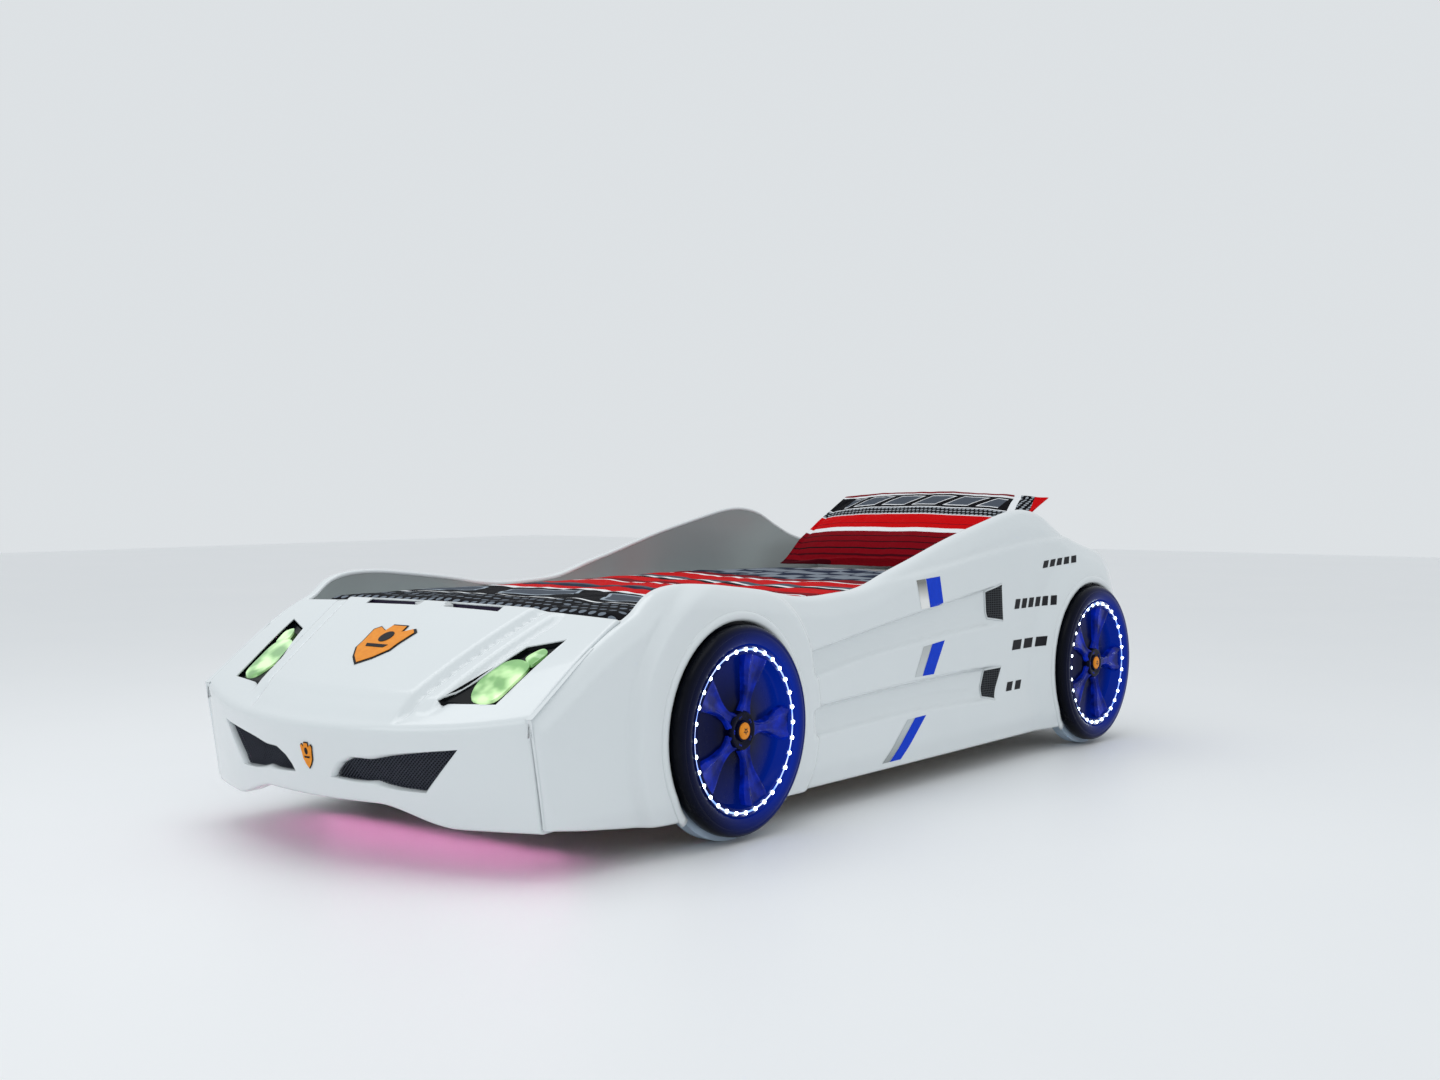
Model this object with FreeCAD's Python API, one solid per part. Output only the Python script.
import FreeCAD, Part
import math
import os

os.makedirs("parts", exist_ok=True)

Vector = FreeCAD.Vector

# A race-car bed for a child. +X is the car's left, -Y its nose, +Z up. Millimetres.
# The origin is on the floor, in the middle of the bed's length and width.

# driving dimensions
mattress_width = 900.0
mattress_length = 2000.0
mattress_depth = 150.0
mattress_gap = 8.0            # free space around the mattress in its well
mattress_corner = 22.0
lift_gap = 0.3                # free space under each piece that lifts off

board_thickness = 14.0
board_bottom = 80.0
shell_wall = 4.0
shell_fit = 1.0               # between a shell and the board that it covers
shell_seam = 0.5              # between two neighbouring shells
skin_fit = 0.5                # least room between a door's flutes and the board behind them

hood_length = 370.0           # nose tip to mattress well
tail_length = 130.0           # head board to tail
nose_sweep = 124.0            # how far the corners lie behind the nose tip
door_cover = 27.0             # skin of the doors, outside the side boards
seam_cover = 8.0              # seam of the front panel, inside the boards' outer faces
wheel_cover = 71.0            # outer face of the tyres, outside the side boards

tyre_radius = 212.5
tyre_lift = 9.5               # the tyres hang clear of the floor on their drums
arch_gap = 6.5
drum_gap = 2.0                # between the drums and the side shells
arch_flare = 17.0
flare_width = 86.0
drum_thickness = 28.0
front_axle_inset = 300.0      # from the front end of the well
tail_margin = 16.0            # shell behind the rear arches
fender_margin = 77.0          # shell above the front arches

rail_gap = 9.5                # between the wheel bolts' heads and the slat rails
slat_thickness = 12.0
slat_width = 70.0
slat_count = 16
rail_width = 40.0
rail_depth = 40.0
beam_width = 44.0
foot_radius = 25.0
feet_count = 3

duvet_thickness = 12.0
duvet_length = 1560.0
duvet_inset = 6.0
pillow_width = 700.0
pillow_height = 375.0
pillow_thickness = 108.0
pillow_lean = 29.0            # degrees from lying flat
pillow_round = 45.0
duvet_round = 5.0
pillow_gap = 4.0              # between the pillow and the mattress's rear end

bolt_radius = 4.0
bolt_clearance = 0.5
thread_clearance = 0.1
bolt_circle = 27.0
bolt_head_radius = 8.0
bolt_head_height = 5.0
screw_radius = 2.5
screw_length = 14.0
screw_head_radius = 5.0
screw_head_height = 3.0

# stations along the bed
well_half_width = mattress_width / 2 + mattress_gap
board_outer = well_half_width + board_thickness
body_half_width = board_outer + door_cover
corner_half_width = board_outer - seam_cover
wheel_face = board_outer + wheel_cover
well_length = mattress_length + 2 * mattress_gap
bed_length = hood_length + well_length + board_thickness + tail_length
nose_y = -bed_length / 2
tail_y = bed_length / 2
well_front = nose_y + hood_length
well_rear = well_front + well_length
corner_y = nose_y + nose_sweep
wheel_centre_height = tyre_radius + tyre_lift
arch_radius = tyre_radius + arch_gap
flare_radius = arch_radius + flare_width
front_axle_y = well_front + front_axle_inset
rear_axle_y = tail_y - tail_margin - arch_radius
rail_bottom = wheel_centre_height + bolt_circle / 2 + bolt_head_radius + rail_gap
slat_height = rail_bottom + rail_depth
slat_top = slat_height + slat_thickness
mattress_bottom = slat_top + lift_gap
mattress_top = mattress_bottom + mattress_depth
drum_face = board_outer + drum_thickness
fender_height = wheel_centre_height + arch_radius + fender_margin
drawn_height = 518.0          # the fender height that the outlines below are drawn for


def level(height):
    return height * fender_height / drawn_height


crease_height = level(269)    # nose tip, where hood and bumper meet
crease_rise = 30.0            # from the nose tip to the corners
hood_rear_height = level(474)
hood_rear_drop = 10.0
bumper_lean = 30.0
sill_height = 62.0
shell_top = level(700)        # above everything that the shells reach


# helpers
def export(name, shape):
    shape.exportStep("parts/" + name + ".step")


def box(x, y, z):
    solid = Part.makeBox(x[1] - x[0], y[1] - y[0], z[1] - z[0])
    solid.translate(Vector(x[0], y[0], z[0]))
    return solid


def cylinder(radius, start, direction, length):
    return Part.makeCylinder(radius, length, Vector(*start), Vector(*direction))


def join(solids):
    result = solids[0]
    if len(solids) > 1:
        result = result.fuse(solids[1:])
    return result


def mirrored(shape):
    return shape.mirror(Vector(0, 0, 0), Vector(1, 0, 0))


def export_pair(name, left):
    export("left_" + name, left)
    export("right_" + name, mirrored(left))


def ramp(value, start, end):
    share = min(max((value - start) / (end - start), 0.0), 1.0)
    return share * share * (3 - 2 * share)


def along(points, place):
    # smooth height of a curve given by (place, height) points
    if place <= points[0][0]:
        return points[0][1]
    for low, high in zip(points, points[1:]):
        if place <= high[0]:
            share = (place - low[0]) / (high[0] - low[0])
            return low[1] + (high[1] - low[1]) * share
    return points[-1][1]


def spread(start, end, count):
    return [start + (end - start) * index / (count - 1) for index in range(count)]


def surface(first, second, point_at):
    patch = Part.BSplineSurface()
    patch.interpolate([[point_at(a, b) for b in second] for a in first])
    return patch.toShape()


def slab(face, offset, thickness):
    # the solid between two copies of a face, moved along one axis
    start = face.copy()
    start.translate(offset)
    return start.extrude(thickness)


def plate(points, direction):
    corners = [Vector(*point) for point in points]
    return Part.Face(Part.makePolygon(corners + corners[:1])).extrude(Vector(*direction))


# side panels
def station(share):
    return corner_y + share * (tail_y - corner_y)


# top edge of a side, from the front corner over the fender, the door dip and the rear hump
top_edge = [(station(share), level(height)) for share, height in (
    (0.000, 299), (0.029, 348), (0.062, 404), (0.086, 438), (0.115, 470), (0.133, 501),
    (0.155, 516), (0.190, 518), (0.239, 507), (0.296, 490), (0.327, 478), (0.358, 472),
    (0.390, 473), (0.444, 482), (0.494, 513), (0.532, 535), (0.610, 582), (0.695, 624),
    (0.739, 643), (0.774, 647), (0.810, 632), (0.845, 596), (0.882, 562), (0.940, 530),
    (0.954, 520))]
# tail edge, measured forwards from the tail
tail_edge = [(-111, level(520)), (-77, level(455)), (-38, level(380)), (-3, level(260)), (-8, level(130)),
             (-28, sill_height)]
# bottom edge in front of the front wheel, measured backwards from the front corner
front_bottom = [(357, sill_height), (149, 81), (35, 97)]
shoulder_line = [(station(share), level(height)) for share, height in (
    (0.45, 478), (0.57, 507), (0.695, 543), (0.81, 563))]
# two flutes along the door: lower and upper edge of each
flute_front = front_axle_y + flare_radius - 5
flute_rear = rear_axle_y - arch_radius - 256
upper_flute = ([(0, level(303)), (200, level(328)), (510, level(351)), (850, level(366))],
               [(0, level(356)), (330, level(399)), (760, level(450)), (850, level(462))])
lower_flute = ([(0, level(174)), (220, level(180)), (430, level(183)), (850, level(172))],
               [(0, level(234)), (300, level(246)), (600, level(253)), (850, level(253))])
flute_depth = 21.0
flute_soft = 16.0
intake_length = 85.0
front_narrowing = 15.0
tail_narrowing = 22.0
top_lean = 10.0
shoulder_step = 10.0
sill_step = 6.0


def side_outline(inset, arches=True):
    top = Part.BSplineCurve()
    top_points = [Vector(0, y, z - inset) for y, z in top_edge]
    top_points[0] = Vector(0, top_edge[0][0] + inset, top_edge[0][1] - inset)
    top.interpolate(top_points)
    tail = Part.BSplineCurve()
    tail_points = [Vector(0, tail_y + back - inset, z) for back, z in tail_edge]
    tail_points[0] = top_points[-1]
    tail_points[-1] = Vector(0, tail_points[-1].y, sill_height + inset)
    tail.interpolate(tail_points)
    lower = [tail_points[-1]]
    lower += [Vector(0, corner_y + back + inset, z + inset) for back, z in front_bottom]
    lower += [top_points[0]]
    edges = [top.toShape(), tail.toShape()]
    edges += [Part.makeLine(a, b) for a, b in zip(lower, lower[1:])]
    face = Part.Face(Part.Wire(edges))
    outline = face.extrude(Vector(wheel_face, 0, 0))
    for axle_y in (front_axle_y, rear_axle_y) if arches else ():
        arch = cylinder(arch_radius + inset, (0, axle_y, wheel_centre_height), (1, 0, 0), wheel_face)
        outline = outline.cut(arch)
    return outline


def flute(y, z, edges):
    place = y - flute_front
    low = along(edges[0], place)
    high = along(edges[1], place)
    inside = ramp(z, low - flute_soft / 2, low + flute_soft)
    inside *= 1 - ramp(z, high - flute_soft, high + flute_soft / 2)
    length = ramp(y, flute_front - 40, flute_front + 20)
    length *= 1 - ramp(y, flute_rear - intake_length, flute_rear)
    return inside * length


def side_x(y, z):
    x = body_half_width
    x -= front_narrowing * (1 - ramp(y, corner_y - 20, corner_y + 260))
    x -= tail_narrowing * ramp(y, well_rear + board_thickness, tail_y)
    front = math.hypot(y - front_axle_y, z - wheel_centre_height)
    rear = math.hypot(y - rear_axle_y, z - wheel_centre_height)
    x += arch_flare * (1 - ramp(front, flare_radius - 12, flare_radius + 18))
    x += arch_flare * (1 - ramp(rear, arch_radius + 10, arch_radius + 110))
    x -= top_lean * ramp(z, along(top_edge, y) - 50, along(top_edge, y) + 5)
    if y > shoulder_line[0][0]:
        x -= shoulder_step * ramp(z, along(shoulder_line, y), along(shoulder_line, y) + 60)
    x -= sill_step * (1 - ramp(z, sill_height - 5, sill_height + 50))
    x -= flute_depth * max(flute(y, z, upper_flute), flute(y, z, lower_flute))
    return x


side_face = surface(spread(corner_y - 40, tail_y + 20, 100), spread(30, level(680), 42),
                    lambda y, z: Vector(side_x(y, z), y, z))


def side_panel():
    outline = side_outline(0)
    skin = slab(side_face, Vector(0, 0, 0), Vector(-shell_wall, 0, 0)).common(outline)
    body = slab(side_face, Vector(-shell_wall / 2, 0, 0), Vector(-body_half_width, 0, 0))
    rim = outline.cut(side_outline(shell_wall)).common(body)
    seam_x = corner_half_width + shell_seam
    rim = rim.cut(box((0, seam_x), (nose_y - 50, tail_y + 50), (0, shell_top)))
    panel = join([skin, rim])
    for axle_y in (front_axle_y, rear_axle_y):
        start = (0, axle_y, wheel_centre_height)
        panel = panel.cut(cylinder(wheel_centre_height + drum_gap, start, (1, 0, 0), drum_face + drum_gap))
    return panel


left_side_panel = side_panel()
export_pair("side_panel", left_side_panel)


# front panel
step_start = 205.0            # half width of the raised middle of the hood, at the nose
step_spread = 80.0
step_height = 7.0
hood_bow = 8.0
bumper_height = 126.0         # lower edge at the middle
bumper_drop = 36.0            # from there to the corners


def crease_y(x):
    return nose_y + nose_sweep * (abs(x) / corner_half_width) ** 1.8


def crease_z(x):
    return crease_height + crease_rise * (abs(x) / corner_half_width) ** 3


def hood_z(x, y):
    share = (y - crease_y(x)) / (well_front - crease_y(x))
    rear = hood_rear_height - hood_rear_drop * (x / corner_half_width) ** 2
    step_x = step_start + step_spread * max(share, 0) ** 1.3
    height = crease_z(x) + (rear - crease_z(x)) * share
    bow = max(math.sin(math.pi * min(max(share, 0), 1)), 0)
    raised = 1 - ramp(abs(x), step_x - 16, step_x + 8)
    raised *= ramp(share, 0.02, 0.2) * (1 - ramp(share, 0.9, 1.02))
    return height + hood_bow * bow + step_height * raised


def bumper_bottom(x):
    return bumper_height - bumper_drop * ramp(abs(x), 150, 320)


def bumper_y(x, z):
    drop = (crease_z(x) - z) / (crease_z(x) - bumper_bottom(x))
    return crease_y(x) + bumper_lean * drop


half_span = corner_half_width + 16
hood_face = surface(spread(-half_span, half_span, 49), spread(nose_y - 40, well_front + 30, 24),
                    lambda x, y: Vector(x, y, hood_z(x, y)))
bumper_face = surface(spread(-half_span, half_span, 49), spread(50, level(520), 14),
                      lambda x, z: Vector(x, bumper_y(x, z), z))

drawn_hood_length = 370.0


def behind_nose(distance):
    return distance * hood_length / drawn_hood_length


# openings: headlight in plan, grille in front view, vent in plan
headlight_plan = [(corner_half_width - inset, behind_nose(back)) for inset, back in (
    (209, 101), (87, 131), (65, 299), (137, 267))]                     # x, behind the nose tip
grille_front = [(58, 170), (82, 198), (110, 211), (327, 237), (257, 159), (160, 168)]
grille_middle = (175.0, 192.0)
vent_plan = (30.0, 195.0, 22.0, 40.0)                                  # x from, to, y size, y from well
lamp_depth = 40.0
lamp_wall = 5.0
lamp_floor = 6.0
grille_recess = 26.0
insert_fit = 0.5
trim_wall = 3.0


def lamp_prism(shrink):
    centre_x = sum(point[0] for point in headlight_plan) / 4
    centre_y = sum(point[1] for point in headlight_plan) / 4
    points = []
    for x, back in headlight_plan:
        reach = math.hypot(x - centre_x, back - centre_y)
        keep = 1 - shrink / reach
        points.append((centre_x + (x - centre_x) * keep, nose_y + centre_y + (back - centre_y) * keep, 0))
    return plate(points, (0, 0, shell_top))


def grille_prism(shrink):
    centre_x, centre_z = grille_middle
    points = []
    for x, z in grille_front:
        keep = 1 - shrink / math.hypot(x - centre_x, z - centre_z)
        points.append((centre_x + (x - centre_x) * keep, nose_y - 50, centre_z + (z - centre_z) * keep))
    return plate(points, (0, hood_length, 0))


def vent_prism(shrink):
    start_x, end_x, size, back = vent_plan
    middle = well_front - back
    half = size / 2 - shrink
    return box((start_x + shrink, end_x - shrink), (middle - half, middle + half), (0, shell_top))


def both_sides(solid):
    return [solid, mirrored(solid)]


def below_hood(start, thickness):
    return slab(hood_face, Vector(0, 0, -start), Vector(0, 0, -thickness))


def behind_bumper(start, thickness):
    return slab(bumper_face, Vector(0, start, 0), Vector(0, thickness, 0))


def front_panel():
    sides = box((-corner_half_width, corner_half_width), (nose_y - 10, well_front), (60, shell_top))
    hood = below_hood(0, shell_wall).common(behind_bumper(0, hood_length + 60)).common(sides)
    bumper = behind_bumper(0, shell_wall).common(below_hood(0, shell_top)).common(sides)
    corners = [(x, nose_y - 20, bumper_bottom(x)) for x in spread(-half_span, half_span, 25)]
    corners += [(half_span, nose_y - 20, 0), (-half_span, nose_y - 20, 0)]
    skirt = plate(corners, (0, hood_length + 60, 0))
    cheek_y = (nose_y, well_front - board_thickness - shell_fit)
    cheek = box((corner_half_width - shell_wall, corner_half_width), cheek_y, (0, shell_top))
    cheek = cheek.common(below_hood(shell_wall / 2, shell_top))
    cheek = cheek.common(behind_bumper(shell_wall / 2, hood_length + 60))
    shell = join([hood, bumper.cut(skirt)] + [side.cut(skirt) for side in both_sides(cheek)])
    for prism in (lamp_prism(0), grille_prism(0), vent_prism(0)):
        for side in both_sides(prism):
            shell = shell.cut(side)
    return shell


export("front_panel", front_panel())


# front trim
def headlight():
    bowl = lamp_prism(insert_fit).common(below_hood(1, lamp_depth))
    cavity = lamp_prism(insert_fit + lamp_wall).common(below_hood(0, lamp_depth - lamp_floor))
    return bowl.cut(cavity)


def lens_prism(shrink):
    lobes = []
    for inset, back, length, radius in ((146, 155, 75, 26 - shrink), (96, 262, 28, 15 - shrink)):
        start = Vector(corner_half_width - inset, nose_y + behind_nose(back), 0)
        lobes.append(Part.makeCylinder(radius, shell_top, start))
        far = start + Vector(length * 0.22, length * 0.75, 0)
        lobes.append(Part.makeCylinder(radius * 0.86, shell_top, far))
        side = radius * 0.8
        link = box((-side, side), (0, length * 0.75), (0, shell_top))
        link.rotate(Vector(0, 0, 0), Vector(0, 0, 1), -16)
        link.translate(start)
        lobes.append(link)
    return join(lobes)


lens_edge = insert_fit + lamp_wall + 1
lens_top = 6.0
board_depth = 30.0
led_board_thickness = 2.0
backing_depth = board_depth + led_board_thickness
lens = lens_prism(0).common(lamp_prism(lens_edge)).common(below_hood(lens_top, 22))
lamp_board = lens_prism(4).common(lamp_prism(lens_edge + 3))
lamp_board = lamp_board.common(below_hood(board_depth, led_board_thickness))
lamp_backing = lens_prism(0).common(lamp_prism(lens_edge)).common(below_hood(backing_depth, lamp_depth - 37))
export_pair("headlight_housing", join([headlight(), lamp_backing]))
export_pair("headlight_lens", lens)
export("headlight_boards", Part.makeCompound(both_sides(lamp_board)))


def grille():
    tray = grille_prism(insert_fit).common(behind_bumper(1, grille_recess + trim_wall))
    hollow = grille_prism(insert_fit + trim_wall).common(behind_bumper(0, grille_recess))
    shell = tray.cut(hollow)
    bars = [box((x, x + trim_wall), (nose_y - 20, tail_y), (100, 300)) for x in spread(75, 315, 13)]
    ribs = join(bars).common(grille_prism(insert_fit + 2)).common(behind_bumper(grille_recess - 8, 9))
    return join([shell, ribs])


export_pair("front_grille", grille())


def vent():
    bowl = vent_prism(insert_fit).common(below_hood(1, 24))
    hollow = vent_prism(insert_fit + trim_wall).common(below_hood(0, 24 - trim_wall))
    return bowl.cut(hollow)


export("hood_vents", Part.makeCompound(both_sides(vent())))


def badge(width, height, centre_back, thickness):
    outline = [(-0.5, 0.5), (0.5, 0.5), (0.5, -0.1), (0.0, -0.5), (-0.5, -0.1)]
    middle = nose_y + centre_back
    points = [(x * width, middle + y * height, 0) for x, y in outline]
    return plate(points, (0, 0, shell_top)).common(slab(hood_face, Vector(0, 0, 0), Vector(0, 0, thickness)))


export("hood_badge", badge(104, 100, 190, 4))
nose_badge = Part.makeCylinder(14, 60, Vector(0, nose_y - 20, crease_height - 59), Vector(0, 1, 0))
export("nose_badge", nose_badge.common(behind_bumper(-4, 4)))


# rear panel
def tail_profile(inset):
    outer = Part.BSplineCurve()
    points = [Vector(0, tail_y + back - inset, z) for back, z in tail_edge]
    outer.interpolate(points)
    front_y = well_rear + board_thickness + shell_fit
    top = tail_edge[0][1] + 6 - inset
    first = Vector(0, tail_y + tail_edge[0][0] - inset, top)
    corner = Vector(0, front_y, top)
    foot = Vector(0, front_y, points[-1].z)
    edges = [Part.makeLine(corner, first), Part.makeLine(first, points[0]), outer.toShape(),
             Part.makeLine(points[-1], foot), Part.makeLine(foot, corner)]
    return Part.Face(Part.Wire(edges))


def rear_panel():
    half = corner_half_width
    outer = tail_profile(0)
    outer.translate(Vector(-half, 0, 0))
    inner = tail_profile(shell_wall)
    inner.translate(Vector(-half + shell_wall, 0, 0))
    solid = outer.extrude(Vector(2 * half, 0, 0))
    return solid.cut(inner.extrude(Vector(2 * (half - shell_wall), 0, 0)))


export("rear_panel", rear_panel())


# boards of the box
def wheel_bolts(axle_y):
    places = []
    for degrees in (-90, 30, 150):
        angle = math.radians(degrees)
        height = wheel_centre_height + bolt_circle * math.sin(angle)
        places.append((axle_y + bolt_circle * math.cos(angle), height))
    return places


def side_board():
    span = (well_front - board_thickness, well_rear + board_thickness)
    board = box((well_half_width, board_outer), span, (board_bottom, shell_top))
    board = board.common(side_outline(shell_wall + shell_fit, False))
    board = board.common(slab(side_face, Vector(-shell_wall - skin_fit, 0, 0), Vector(-body_half_width, 0, 0)))
    for axle_y in (front_axle_y, rear_axle_y):
        for y, z in wheel_bolts(axle_y):
            start = (well_half_width - 1, y, z)
            board = board.cut(cylinder(bolt_radius + bolt_clearance, start, (1, 0, 0), board_thickness + 2))
    return board


export_pair("side_board", side_board())

foot_top = hood_z(0, well_front - board_thickness) - hood_rear_drop - 22
cable_hole = (well_half_width - 38, 160.0)
across = (-well_half_width, well_half_width)
foot_board = box(across, (well_front - board_thickness, well_front), (board_bottom, foot_top))
cable_bore = cylinder(5, (cable_hole[0], well_front - 30, cable_hole[1]), (0, 1, 0), 60)
export("foot_board", foot_board.cut(cable_bore))
head_top = tail_edge[0][1] + 6
head_board = box(across, (well_rear, well_rear + board_thickness), (board_bottom, head_top))
export("head_board", head_board)


# slatted base
rail_y = (well_front, well_rear)
rail_z = (rail_bottom, slat_height)
export_pair("slat_rail", box((well_half_width - rail_width, well_half_width), rail_y, rail_z))
export("centre_beam", box((-beam_width / 2, beam_width / 2), rail_y, rail_z))

slat_half = well_half_width - 2
slat_margin = 15.0
slats = [box((-slat_half, slat_half), (y, y + slat_width), (slat_height, slat_top))
         for y in spread(well_front + slat_margin, well_rear - slat_margin - slat_width, slat_count)]
export("slats", Part.makeCompound(slats))

feet = [cylinder(foot_radius, (0, y, 0), (0, 0, 1), rail_bottom)
        for y in spread(well_front + well_length / 5, well_rear - well_length / 5, feet_count)]
export("centre_feet", Part.makeCompound(feet))

# angle brackets in the four inner corners, two high, each held by two screws
bracket_leg = 30.0
bracket_wall = 3.0
bracket_height = 45.0


def bracket(side, end, bottom):
    corner_x = side * well_half_width
    end_y = well_front if end < 0 else well_rear
    tall = (bottom, bottom + bracket_height)
    x_leg = sorted((corner_x, corner_x - side * bracket_leg))
    y_leg = sorted((end_y, end_y - end * bracket_leg))
    x_thin = sorted((corner_x, corner_x - side * bracket_wall))
    y_thin = sorted((end_y, end_y - end * bracket_wall))
    shape = join([box(x_leg, y_thin, tall), box(x_thin, y_leg, tall)])
    middle = bottom + bracket_height / 2
    reach = bracket_leg * 0.62
    places = [((corner_x - side * bracket_wall, end_y - end * reach, middle), (side, 0, 0)),
              ((corner_x - side * reach, end_y - end * bracket_wall, middle), (0, end, 0))]
    screws = []
    for start, direction in places:
        shape = shape.cut(cylinder(screw_radius + 0.3, start, direction, bracket_wall))
        head = cylinder(screw_head_radius, start, [-value for value in direction], screw_head_height)
        screws.append(join([head, cylinder(screw_radius, start, direction, screw_length)]))
    return shape, screws


brackets = []
screws = []
for side in (-1, 1):
    for end in (-1, 1):
        for bottom in (board_bottom + 15, rail_bottom - bracket_height - 23):
            shape, pair = bracket(side, end, bottom)
            brackets.append(shape)
            screws += pair
export("corner_brackets", Part.makeCompound(brackets))
export("assembly_screws", Part.makeCompound(screws))


# wheels
rim_radius = tyre_radius - 38.5
barrel_wall = 4.0
led_outer = rim_radius - 4.5
led_inner = led_outer - 12.5
led_count = 32
hub_radius = 38.0
cap_radius = 17.0
rim_back = 6.0
spoke_count = 5
spoke_depth = 12.0
tyre_round = 14.0


def ring(outer, inner, start_x, length, axle_y):
    start = (start_x, axle_y, wheel_centre_height)
    return cylinder(outer, start, (1, 0, 0), length).cut(cylinder(inner, start, (1, 0, 0), length))


def spoke(index, axle_y):
    # wide at the barrel, narrow at the middle, and hollowed on both flanks
    half_root = 17.0
    half_tip = 33.0
    middle = rim_radius / 2 + 1
    half_middle = 11.0
    inner = hub_radius - 6
    outer = rim_radius - barrel_wall / 2
    flank = [Vector(0, inner, half_root), Vector(0, middle, half_middle), Vector(0, outer, half_tip)]
    mirror_flank = [Vector(0, point.y, -point.z) for point in flank]
    edges = [Part.Arc(*flank).toShape(), Part.makeLine(flank[2], mirror_flank[2]),
             Part.Arc(*reversed(mirror_flank)).toShape(), Part.makeLine(mirror_flank[0], flank[0])]
    solid = Part.Face(Part.Wire(edges)).extrude(Vector(spoke_depth, 0, 0))
    solid.rotate(Vector(0, 0, 0), Vector(1, 0, 0), index * 360 / spoke_count)
    solid.translate(Vector(wheel_face - 8 - spoke_depth, axle_y, wheel_centre_height))
    return solid


def wheel(axle_y):
    centre = (0, axle_y, wheel_centre_height)
    drum = cylinder(wheel_centre_height, (board_outer,) + centre[1:], (1, 0, 0), drum_thickness)
    tyre = ring(tyre_radius, rim_radius, drum_face, wheel_face - drum_face, axle_y)
    shoulder = [edge for edge in tyre.Edges if edge.BoundBox.XMin > wheel_face - 0.1
                and edge.BoundBox.ZLength > 2 * tyre_radius - 1]
    tyre = tyre.makeFillet(tyre_round, shoulder)
    back = cylinder(rim_radius, (drum_face,) + centre[1:], (1, 0, 0), rim_back)
    barrel = ring(rim_radius, rim_radius - barrel_wall, drum_face, wheel_face - drum_face - 3, axle_y)
    hub = cylinder(hub_radius, (drum_face,) + centre[1:], (1, 0, 0), wheel_face - drum_face - 5)
    depth = wheel_face - drum_face
    inside = cylinder(rim_radius - barrel_wall / 2, (drum_face,) + centre[1:], (1, 0, 0), depth)
    spokes = [spoke(index, axle_y).common(inside) for index in range(spoke_count)]
    rim = join([back, barrel, hub] + spokes)
    groove = ring(led_outer, led_inner, wheel_face - 12, 14, axle_y)
    rim = rim.cut(groove)
    led = ring(led_outer, led_inner, wheel_face - 12, 6, axle_y)
    domes = []
    for index in range(led_count):
        angle = 2 * math.pi * index / led_count
        middle = (led_inner + led_outer) / 2
        y = axle_y + middle * math.cos(angle)
        z = wheel_centre_height + middle * math.sin(angle)
        domes.append(cylinder(4, (wheel_face - 7, y, z), (1, 0, 0), 3.5))
    led = join([led] + domes)
    cap = cylinder(cap_radius, (wheel_face - 5,) + centre[1:], (1, 0, 0), 8)
    bolts = []
    for y, z in wheel_bolts(axle_y):
        start = (well_half_width, y, z)
        length = wheel_face - well_half_width - 20
        shank = cylinder(bolt_radius, start, (1, 0, 0), length)
        head = cylinder(bolt_head_radius, start, (-1, 0, 0), bolt_head_height)
        bolts.append(join([shank, head]))
        bore = cylinder(bolt_radius + bolt_clearance, (board_outer, y, z), (1, 0, 0), drum_thickness)
        drum = drum.cut(bore)
        depth = length - (drum_face - well_half_width) + 1
        rim = rim.cut(cylinder(bolt_radius + thread_clearance, (drum_face, y, z), (1, 0, 0), depth))
    return {"drum": drum, "tyre": tyre, "rim": rim, "led_ring": led, "hub_cap": cap}, bolts


all_bolts = []
for place, axle_y in (("front", front_axle_y), ("rear", rear_axle_y)):
    pieces, bolts = wheel(axle_y)
    for piece, shape in pieces.items():
        export_pair(place + "_" + piece, shape)
    for bolt in bolts:
        all_bolts += both_sides(bolt)
export("wheel_bolts", Part.makeCompound(all_bolts))


# side trim
def on_side(points, thickness):
    prism = plate([(body_half_width - 60, y, z) for y, z in points], (120, 0, 0))
    return prism.common(slab(side_face, Vector(0, 0, 0), Vector(thickness, 0, 0)))


def intake(edges):
    # black mesh lying on the closing wall at the rear end of a flute
    start = flute_rear - intake_length * 0.86
    end = flute_rear - intake_length * 0.12
    low = along(edges[0], start - flute_front) + flute_soft
    high = along(edges[1], start - flute_front) - flute_soft
    slant = 14.0
    return on_side([(start, low), (end - slant, low), (end, high), (start + slant, high)], 2.0)


export("left_side_grilles", Part.makeCompound([intake(upper_flute), intake(lower_flute)]))
export("right_side_grilles", mirrored(Part.makeCompound([intake(upper_flute), intake(lower_flute)])))

decal_thickness = 0.4
# stripes from the flutes' front ends, badges from the rear axle, as (y, z)
stripes = [[(419, 489), (531, 494), (536, 425), (434, 422)],
           [(453, 328), (551, 336), (500, 270), (421, 268)],
           [(381, 162), (465, 162), (360, 84), (281, 84)]]
badges = [[(-250, 500), (-50, 512), (-42, 530), (-242, 518)],
          [(-422, 400), (-180, 400), (-164, 424), (-406, 424)],
          [(-440, 290), (-250, 290), (-238, 312), (-428, 312)],
          [(-470, 190), (-370, 190), (-362, 208), (-462, 208)]]


def decal(points, start):
    return on_side([(start + y, level(z)) for y, z in points], decal_thickness)


decals = Part.makeCompound([decal(points, flute_front) for points in stripes]
                           + [decal(points, rear_axle_y) for points in badges])
export("left_decals", decals)
export("right_decals", mirrored(decals))


# underglow, electrics
strip_depth = 3.0
strip_height = 10.0
strip_bottom = board_bottom + 6
strip_y = (front_axle_y + arch_radius + 20, rear_axle_y - arch_radius - 20)
strip_z = (strip_bottom, strip_bottom + strip_height)
side_strip = box((board_outer, board_outer + strip_depth), strip_y, strip_z)
front_y = well_front - board_thickness
front_strip = box((-360, 360), (front_y - strip_depth, front_y), strip_z)
export("underglow_strips", Part.makeCompound(both_sides(side_strip) + [front_strip]))

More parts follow.
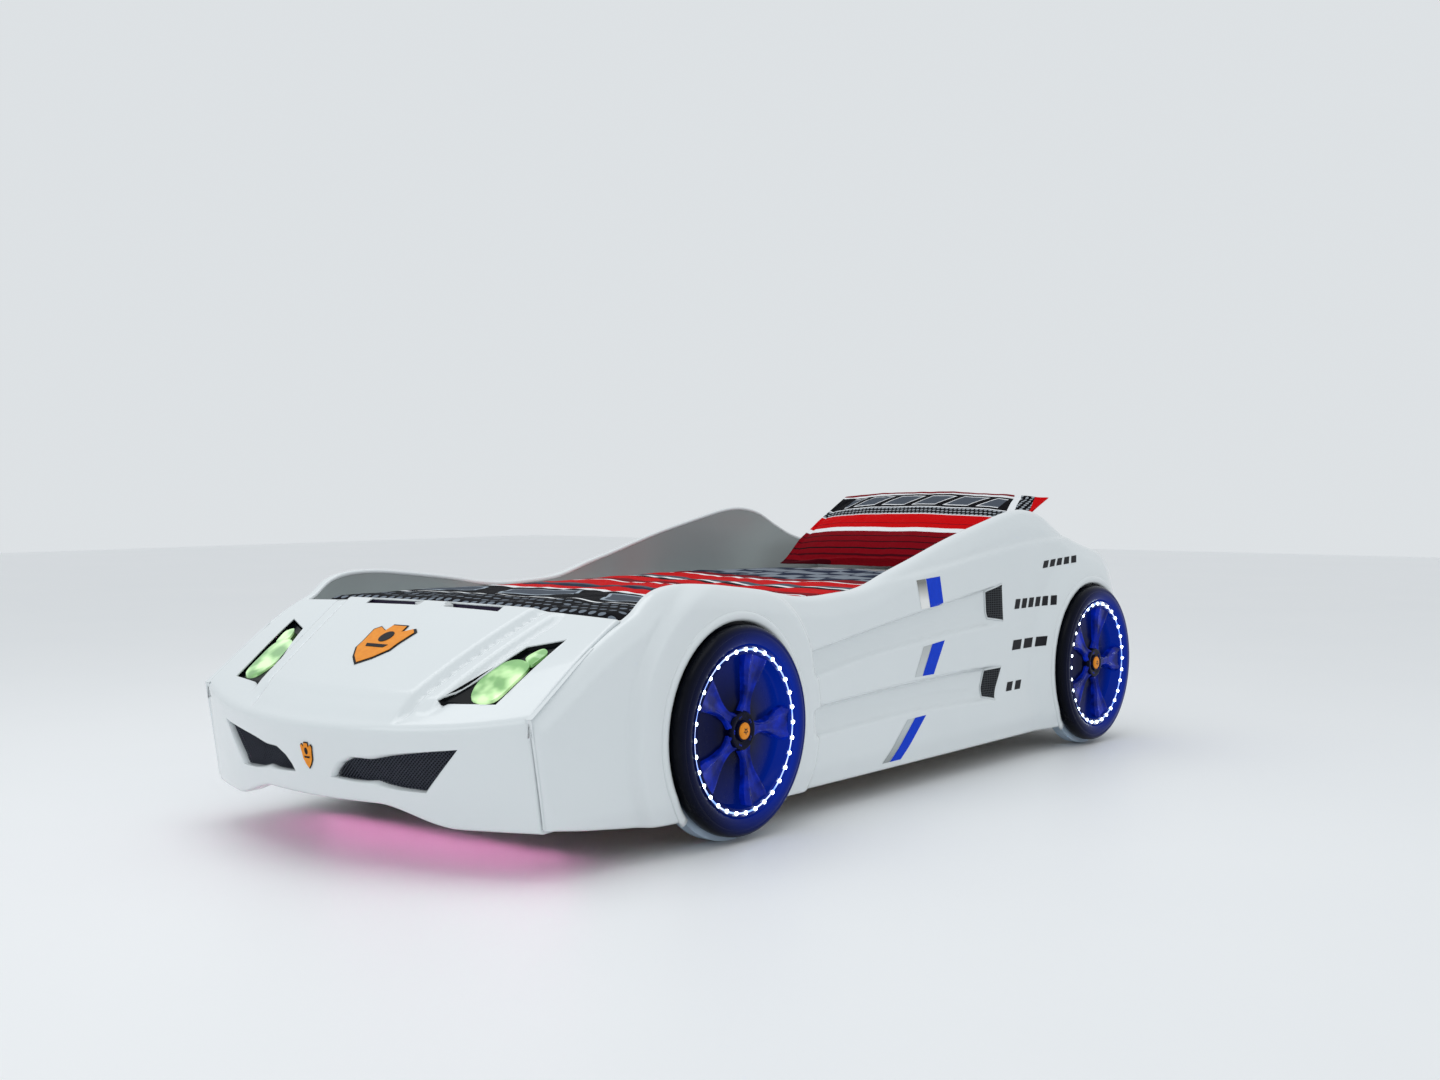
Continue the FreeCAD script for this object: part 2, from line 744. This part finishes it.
box_depth = 46.0
box_x = (well_half_width - 258, well_half_width - 138)
box_z = (120.0, 200.0)
box_wall = 2.5
box_y = (well_rear - box_depth, well_rear)
lid_y = (box_y[0] - box_wall, box_y[0])
case = box(box_x, box_y, box_z)
inside_x = (box_x[0] + box_wall, box_x[1] - box_wall)
inside_z = (box_z[0] + box_wall, box_z[1] - box_wall)
case = case.cut(box(inside_x, (box_y[0], box_y[1] - box_wall), inside_z))
inlet_x = box_x[0] + 30
inlet_y = (box_y[0] + box_y[1]) / 2
inlet_radius = 6.0
cord_radius = 3.0
cord_start = (box_x[1], box_y[1] - box_depth / 2, cable_hole[1])
case = case.cut(cylinder(inlet_radius, (inlet_x, inlet_y, box_z[0] - 1), (0, 0, 1), box_wall + 2))
cord_exit = (cord_start[0] - box_wall,) + cord_start[1:]
case = case.cut(cylinder(cord_radius, cord_exit, (1, 0, 0), box_wall))
export("control_box", case)

inlet = cylinder(inlet_radius, (inlet_x, inlet_y, box_z[0] - 3), (0, 0, 1), 18)
inlet_flange = cylinder(inlet_radius + 3, (inlet_x, inlet_y, box_z[0] - 3), (0, 0, 1), 3)
inlet_bore = cylinder(2.8, (inlet_x, inlet_y, box_z[0] - 3), (0, 0, 1), 12)
inlet_pin = cylinder(1.0, (inlet_x, inlet_y, box_z[0] - 1), (0, 0, 1), 12)
export("power_inlet", join([inlet.fuse(inlet_flange).cut(inlet_bore), inlet_pin]))

switch_centre = (box_x[0] + 70, lid_y[0] + 1, 160.0)
rocker_half = 10.0            # half height of the rocker
rocker_width = 12.0
rocker_gap = 0.5
pin_radius = 1.5
pin_clearance = 0.05
ear_thickness = 2.0


def switch_box(half_x, y, half_z):
    x, _, z = switch_centre
    return box((x - half_x, x + half_x), y, (z - half_z, z + half_z))


lid = box(box_x, lid_y, box_z)
opening_y = (lid_y[0] - 1, lid_y[1] + 1)
lid = lid.cut(switch_box(rocker_width / 2 + rocker_gap, opening_y, rocker_half + rocker_gap))
ears = []
for direction in (-1, 1):
    inner_x = switch_centre[0] + direction * (rocker_width / 2 + rocker_gap)
    x = sorted((inner_x, inner_x + direction * ear_thickness))
    ear = box(x, (lid_y[0], lid_y[1] + 6), (switch_centre[2] - 4, switch_centre[2] + 4))
    ears.append(ear)
lid = join([lid] + ears)
pin_y = lid_y[1] + 2
pin_half = rocker_width / 2 + rocker_gap + ear_thickness - 0.2
pin_start = (switch_centre[0] - pin_half, pin_y, switch_centre[2])
bore_start = (pin_start[0] - 2, pin_y, switch_centre[2])
ear_bore = cylinder(pin_radius + pin_clearance, bore_start, (1, 0, 0), 2 * pin_half + 4)
export("control_box_lid", lid.cut(ear_bore))

reach = rocker_half - 0.6
rocker_front = lid_y[0] - 0.2
rocker_points = [(-reach, rocker_front), (0, rocker_front + 1.4), (reach, rocker_front),
                 (reach - 1, pin_y + 2), (1 - reach, pin_y + 2)]
rocker_x = switch_centre[0] - rocker_width / 2
rocker = plate([(rocker_x, y, switch_centre[2] + z) for z, y in rocker_points], (rocker_width, 0, 0))
pin = cylinder(pin_radius, pin_start, (1, 0, 0), 2 * pin_half)
export("rocker_switch", join([rocker, pin]))

# wiring trunk: from the control box along the left board, through the foot board to the headlight
lamp_entry = (corner_half_width - 119, nose_y + behind_nose(200))
lamp_bottom = hood_z(*lamp_entry) - lamp_depth - 1
route = [cord_exit, (cable_hole[0], cord_start[1], cable_hole[1]),
         (cable_hole[0], nose_y + hood_length * 0.74, cable_hole[1]),
         lamp_entry + (lamp_bottom - 80,), lamp_entry + (lamp_bottom + 3,)]


def trunk(points, radius):
    corners = [Vector(*point) for point in points]
    edges = []
    last = corners[0]
    for before, here, after in zip(corners, corners[1:], corners[2:]):
        into = (here - before).normalize()
        out = (after - here).normalize()
        half = into.getAngle(out) / 2
        run = min(here.distanceToPoint(before), here.distanceToPoint(after))
        bend = min(0.45 * run / math.tan(half), 120)
        trim = bend * math.tan(half)
        start = here - into * trim
        end = here + out * trim
        bisector = (out - into).normalize()
        middle = here + bisector * (bend / math.cos(half) - bend)
        edges.append(Part.LineSegment(last, start).toShape())
        edges.append(Part.Arc(start, middle, end).toShape())
        last = end
    edges.append(Part.LineSegment(last, corners[-1]).toShape())
    path = Part.Wire(edges)
    section = Part.Wire(Part.Circle(corners[0], corners[1] - corners[0], radius).toShape())
    return path.makePipeShell([section], True, True)


export("wiring_harness", trunk(route, cord_radius))


# bedding
def cushion(x, y, z, radius):
    solid = box(x, y, z)
    return solid.makeFillet(radius, solid.Edges)


half_mattress = mattress_width / 2
mattress_y = (well_front + mattress_gap, well_rear - mattress_gap)
mattress_x = (-half_mattress, half_mattress)
mattress_z = (mattress_bottom, mattress_top)
export("mattress", cushion(mattress_x, mattress_y, mattress_z, mattress_corner))

duvet_bottom = mattress_top + lift_gap
duvet_top = duvet_bottom + duvet_thickness
duvet_half = half_mattress - duvet_inset
duvet_y = (mattress_y[0] + duvet_inset, mattress_y[0] + duvet_inset + duvet_length)
export("duvet", cushion((-duvet_half, duvet_half), duvet_y, (duvet_bottom, duvet_top), duvet_round))

pillow_x = (-pillow_width / 2, pillow_width / 2)
pillow = cushion(pillow_x, (0, pillow_height), (0, pillow_thickness), pillow_round)
pillow.rotate(Vector(0, 0, 0), Vector(1, 0, 0), pillow_lean)
lowest = pillow.BoundBox.ZMin
rearmost = pillow.BoundBox.YMax
pillow.translate(Vector(0, mattress_y[1] - pillow_gap - rearmost, duvet_top + lift_gap - lowest))
export("pillow", pillow)
print("built", len(os.listdir("parts")), "nodes")
